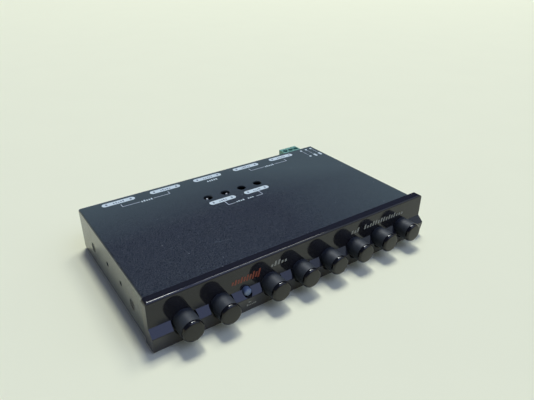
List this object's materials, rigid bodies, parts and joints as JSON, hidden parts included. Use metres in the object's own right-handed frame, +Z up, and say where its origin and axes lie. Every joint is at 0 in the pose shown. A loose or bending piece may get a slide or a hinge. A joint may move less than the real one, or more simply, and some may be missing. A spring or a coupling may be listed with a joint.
{
  "type": "graphic equalizer",
  "caption": "Slim half-width car audio equalizer: metal case, glossy stepped fascia with a row of rotary level knobs and a select button, rear phono sockets and power terminal.",
  "frame": {"origin": "centre of the bounding box in plan, at its lowest point (the fascia's bottom edge)", "axes": "+Z up, the fascia and knobs face -Y, +X to the right seen from the front"},
  "size_m": [0.185, 0.1306, 0.0275],
  "materials": {
    "cover_paint": "satin dark blue-grey powder coat with fine texture",
    "tray_paint": "satin dark grey paint",
    "fascia_black": "glossy black moulding",
    "knob_plastic": "semi-gloss dark grey, glossy front disc",
    "button_clear": "pale blue translucent look",
    "cover_screw_steel": "black oxide",
    "fascia_screw_steel": "zinc plated",
    "board_screw_steel": "zinc plated",
    "main_board_fr4": "green solder mask",
    "pot_board_fr4": "green solder mask",
    "link_plastic": "black moulded",
    "pot_case": "moulded blue case",
    "pot_shaft_metal": "turned",
    "switch_plastic": "moulded",
    "trimmer_case": "moulded",
    "trimmer_dark": "moulded black with a small white pointer",
    "jack_plastic": "moulded black with metal sleeves",
    "header_green": "moulded green",
    "plug_green": "moulded green",
    "terminal_screw_steel": "zinc plated",
    "can_sleeve": "dark sleeve",
    "coil_copper": "wound copper wire"
  },
  "bodies": {
    "case": {"top_cover": "cover_paint", "chassis_tray": "tray_paint", "fascia": "fascia_black", "cover_screw_1": "cover_screw_steel", "cover_screw_2": "cover_screw_steel", "cover_screw_3": "cover_screw_steel", "cover_screw_4": "cover_screw_steel", "fascia_screw_1": "fascia_screw_steel", "fascia_screw_2": "fascia_screw_steel", "board_screw_1": "board_screw_steel", "board_screw_2": "board_screw_steel", "main_board": "main_board_fr4", "pot_board": "pot_board_fr4", "board_link": "link_plastic", "pot_body_1": "pot_case", "pot_body_2": "pot_case", "pot_body_3": "pot_case", "pot_body_4": "pot_case", "pot_body_5": "pot_case", "pot_body_6": "pot_case", "pot_body_7": "pot_case", "pot_body_8": "pot_case", "select_switch": "switch_plastic", "trimmer_body_1": "trimmer_case", "trimmer_body_2": "trimmer_case", "trimmer_body_3": "trimmer_case", "trimmer_body_4": "trimmer_case", "phono_pair_1": "jack_plastic", "phono_pair_2": "jack_plastic", "phono_pair_3": "jack_plastic", "phono_pair_4": "jack_plastic", "phono_pair_5": "jack_plastic", "terminal_header": "header_green", "filter_capacitor": "can_sleeve", "power_inductor": "coil_copper"},
    "knob_1": {"knob_1": "knob_plastic", "pot_shaft_1": "pot_shaft_metal"},
    "knob_2": {"knob_2": "knob_plastic", "pot_shaft_2": "pot_shaft_metal"},
    "knob_3": {"knob_3": "knob_plastic", "pot_shaft_3": "pot_shaft_metal"},
    "knob_4": {"knob_4": "knob_plastic", "pot_shaft_4": "pot_shaft_metal"},
    "knob_5": {"knob_5": "knob_plastic", "pot_shaft_5": "pot_shaft_metal"},
    "knob_6": {"knob_6": "knob_plastic", "pot_shaft_6": "pot_shaft_metal"},
    "knob_7": {"knob_7": "knob_plastic", "pot_shaft_7": "pot_shaft_metal"},
    "knob_8": {"knob_8": "knob_plastic", "pot_shaft_8": "pot_shaft_metal"},
    "select_button": {"select_button": "button_clear"},
    "trimmer_1": {"trimmer_rotor_1": "trimmer_dark"},
    "trimmer_2": {"trimmer_rotor_2": "trimmer_dark"},
    "trimmer_3": {"trimmer_rotor_3": "trimmer_dark"},
    "trimmer_4": {"trimmer_rotor_4": "trimmer_dark"},
    "power_plug": {"terminal_plug": "plug_green", "terminal_screw_1": "terminal_screw_steel", "terminal_screw_2": "terminal_screw_steel", "terminal_screw_3": "terminal_screw_steel"}
  },
  "joints": [
    {"name": "knob_1_turn", "type": "hinge", "parent": "case", "child": "knob_1", "pos_m": [-0.075, -0.04815, 0.0109], "axis": [0, 1, 0], "range_deg": [-140, 140]},
    {"name": "knob_2_turn", "type": "hinge", "parent": "case", "child": "knob_2", "pos_m": [-0.055, -0.04815, 0.0109], "axis": [0, 1, 0], "range_deg": [-140, 140]},
    {"name": "knob_3_turn", "type": "hinge", "parent": "case", "child": "knob_3", "pos_m": [-0.025, -0.04815, 0.0109], "axis": [0, 1, 0], "range_deg": [-140, 140]},
    {"name": "knob_4_turn", "type": "hinge", "parent": "case", "child": "knob_4", "pos_m": [-0.005, -0.04815, 0.0109], "axis": [0, 1, 0], "range_deg": [-140, 140]},
    {"name": "knob_5_turn", "type": "hinge", "parent": "case", "child": "knob_5", "pos_m": [0.015, -0.04815, 0.0109], "axis": [0, 1, 0], "range_deg": [-140, 140]},
    {"name": "knob_6_turn", "type": "hinge", "parent": "case", "child": "knob_6", "pos_m": [0.035, -0.04815, 0.0109], "axis": [0, 1, 0], "range_deg": [-140, 140]},
    {"name": "knob_7_turn", "type": "hinge", "parent": "case", "child": "knob_7", "pos_m": [0.055, -0.04815, 0.0109], "axis": [0, 1, 0], "range_deg": [-140, 140]},
    {"name": "knob_8_turn", "type": "hinge", "parent": "case", "child": "knob_8", "pos_m": [0.075, -0.04815, 0.0109], "axis": [0, 1, 0], "range_deg": [-140, 140]},
    {"name": "select_button_press", "type": "slide", "parent": "case", "child": "select_button", "axis": [0, 1, 0], "range_m": [0, 0.0015], "stiffness_N_per_m": 600, "springref_m": -0.001},
    {"name": "trimmer_1_turn", "type": "hinge", "parent": "case", "child": "trimmer_1", "pos_m": [-0.0209, 0.01885, 0.0071], "axis": [0, 0, -1], "range_deg": [-135, 135]},
    {"name": "trimmer_2_turn", "type": "hinge", "parent": "case", "child": "trimmer_2", "pos_m": [-0.0087, 0.01885, 0.0071], "axis": [0, 0, -1], "range_deg": [-135, 135]},
    {"name": "trimmer_3_turn", "type": "hinge", "parent": "case", "child": "trimmer_3", "pos_m": [0.0035, 0.01885, 0.0071], "axis": [0, 0, -1], "range_deg": [-135, 135]},
    {"name": "trimmer_4_turn", "type": "hinge", "parent": "case", "child": "trimmer_4", "pos_m": [0.0157, 0.01885, 0.0071], "axis": [0, 0, -1], "range_deg": [-135, 135]},
    {"name": "power_plug_pull", "type": "slide", "parent": "case", "child": "power_plug", "axis": [0, 1, 0], "range_m": [0, 0.012]}
  ]
}
